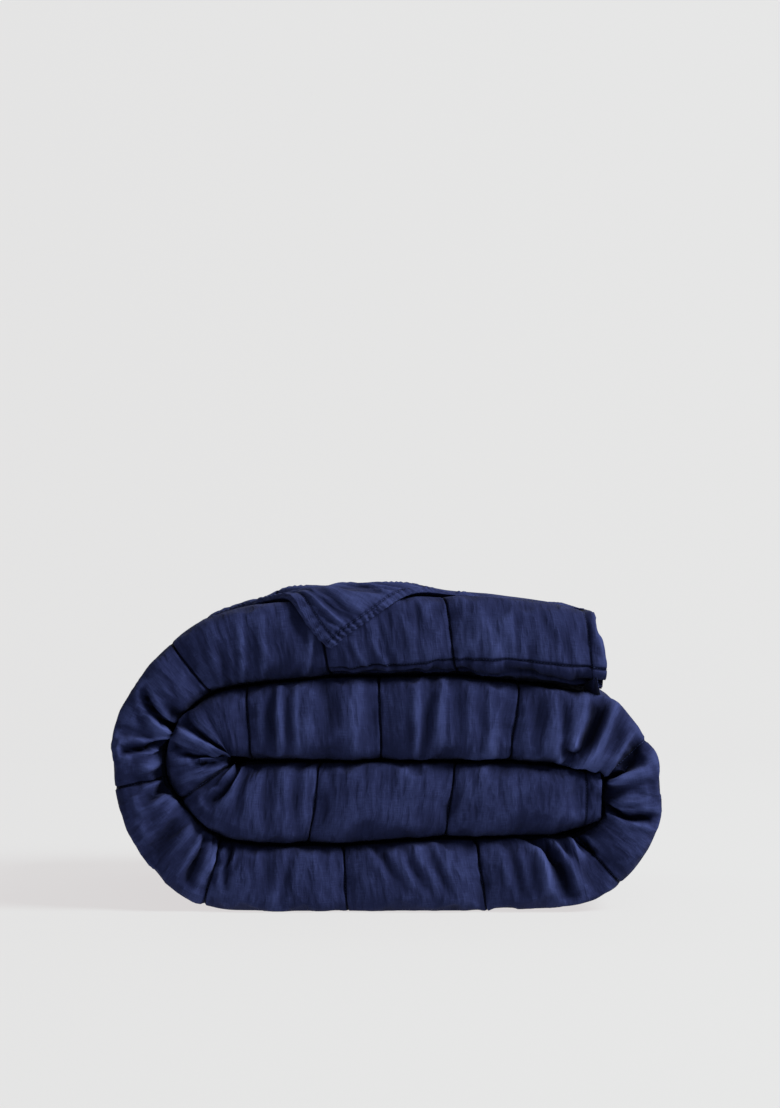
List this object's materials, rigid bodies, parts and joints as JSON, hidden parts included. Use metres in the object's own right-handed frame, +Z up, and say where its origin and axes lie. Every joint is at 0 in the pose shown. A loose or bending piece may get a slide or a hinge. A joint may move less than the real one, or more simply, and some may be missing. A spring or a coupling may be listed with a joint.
{
  "type": "quilt",
  "caption": "Box-stitched quilt folded lengthwise and rolled into a flat oval bundle, one hemmed corner turned back over its top.",
  "frame": {"origin": "under the middle of the roll, on the surface it rests on", "axes": "+X along the flat of the roll, left to right seen from its fold; +Y from the folded front to the hemmed back; +Z up"},
  "size_m": [0.5882, 0.5089, 0.3412],
  "materials": {
    "linen": "matt washed linen, navy"
  },
  "bodies": {
    "root": {"quilt_roll": "linen", "turned_corner": "linen"}
  },
  "joints": []
}
